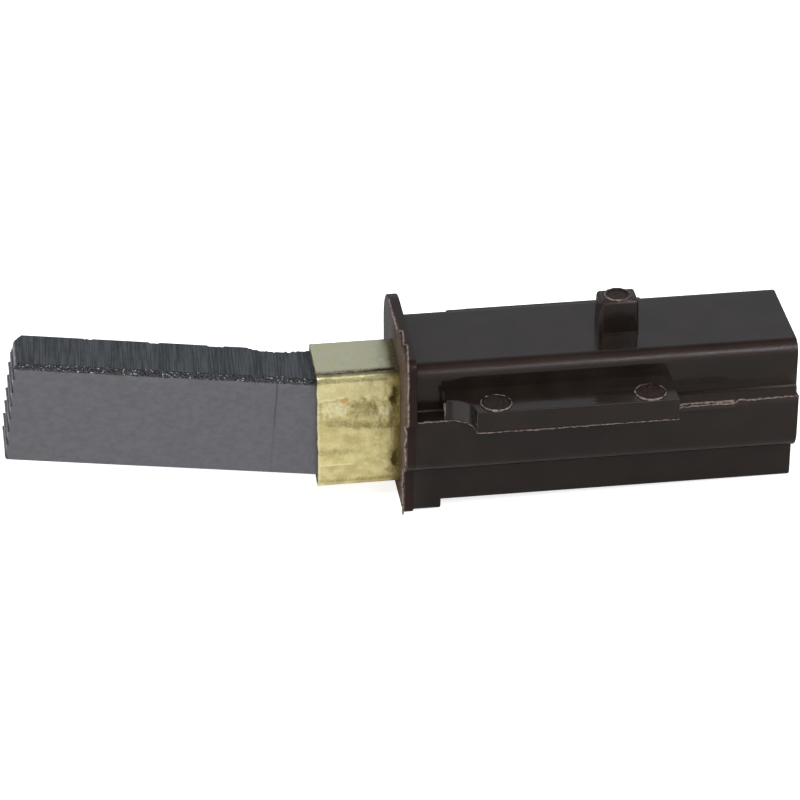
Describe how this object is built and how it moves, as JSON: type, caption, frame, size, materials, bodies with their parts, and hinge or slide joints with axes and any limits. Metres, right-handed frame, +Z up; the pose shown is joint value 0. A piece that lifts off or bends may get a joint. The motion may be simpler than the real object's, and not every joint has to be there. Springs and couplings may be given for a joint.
{
  "type": "carbon brush with moulded holder",
  "caption": "Sprung carbon brush in a brass guide tube, moulded into a flanged push-in holder with side rails, guide ledges and a rear blade terminal.",
  "frame": {"origin": "On the guide tube's centre line, in the rear face of the flange, where the holder seats on the motor.", "axes": "+X along the tube from the carbon's tip to the blade terminal, +Z up towards the locating lug, +Y across the rails."},
  "size_m": [0.0806, 0.0213, 0.0207],
  "materials": {
    "brown_moulding": "dark brown thermoset moulding, semi-gloss, with light flash along its parting line",
    "brass_sheet": "folded brass sheet, dull, with small dents and stains",
    "brush_carbon": "pressed carbon graphite, satin ground sides and saw-marked top",
    "spring_wire": "drawn spring steel wire",
    "copper_braid": "soft bare copper"
  },
  "bodies": {
    "holder": {"holder": "brown_moulding", "guide_tube": "brass_sheet", "end_terminal": "brass_sheet", "shunt_braid": "copper_braid"},
    "spring": {"brush_spring": "spring_wire"},
    "brush": {"carbon_block": "brush_carbon", "tamped_powder": "copper_braid"}
  },
  "joints": [
    {"name": "brush_slide", "type": "slide", "parent": "holder", "child": "spring", "axis": [1, 0, 0], "range_m": [0, 0.02], "stiffness_N_per_m": 110, "springref_m": -0.03, "deforming": ["brush_spring", "shunt_braid"]},
    {"name": "brush_rock", "type": "hinge", "parent": "spring", "child": "brush", "pos_m": [-0.003, 0, -0.00063], "axis": [0, -1, 0], "range_deg": [0, 8.05]}
  ],
  "couplings": [
    {"joint": "brush_rock", "follows": "brush_slide", "rad_per_m": 7}
  ]
}
